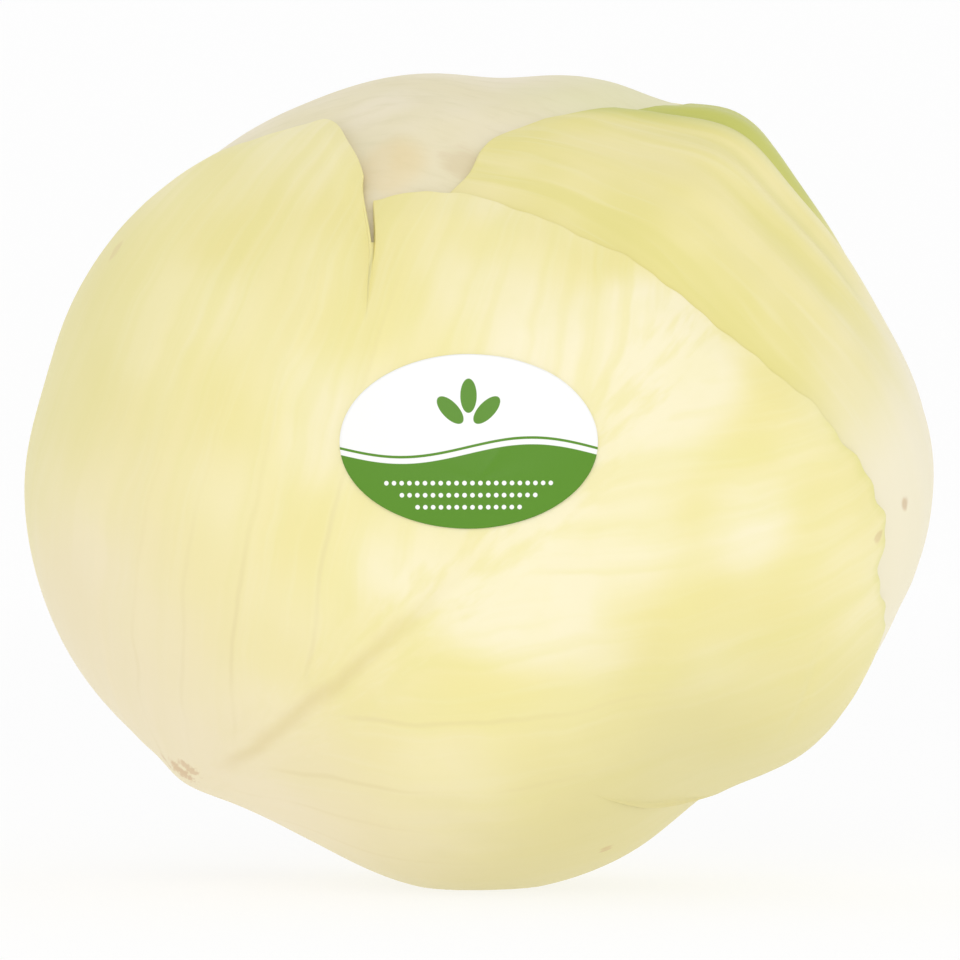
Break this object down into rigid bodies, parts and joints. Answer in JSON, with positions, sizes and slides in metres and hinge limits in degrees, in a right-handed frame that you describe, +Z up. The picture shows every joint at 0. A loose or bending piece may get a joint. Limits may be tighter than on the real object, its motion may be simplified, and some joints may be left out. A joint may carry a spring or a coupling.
{
  "type": "white cabbage",
  "caption": "Round white cabbage, wrapped in pale waxy outer leaves on a cut stem, with an oval paper label; rests on a small flat spot.",
  "frame": {"origin": "bottom centre: on the surface the cabbage rests on, under the middle of its bounding box", "axes": "+Z up, +X along the widest way across, -Y is the labelled front"},
  "size_m": [0.1605, 0.1489, 0.1432],
  "materials": {
    "heart_leaf": "crisp pale inner leaf, satin",
    "cut_stem": "dry cut stem, browned at the edge",
    "pale_leaf": "waxy creamy leaf, satin",
    "pleated_leaf": "waxy yellow-green leaf with long pleats, satin",
    "wrapper_leaf": "waxy cream and yellow-green leaf with fine veins, satin",
    "label_paper": "coated paper, white with a green field"
  },
  "bodies": {
    "root": {"heart": "heart_leaf", "stem_stub": "cut_stem", "crown_leaf": "pale_leaf", "right_leaf": "pleated_leaf", "under_leaf": "pale_leaf", "left_leaf": "pale_leaf", "back_leaf": "pleated_leaf", "front_leaf": "wrapper_leaf", "paper_label": "label_paper"}
  },
  "joints": []
}
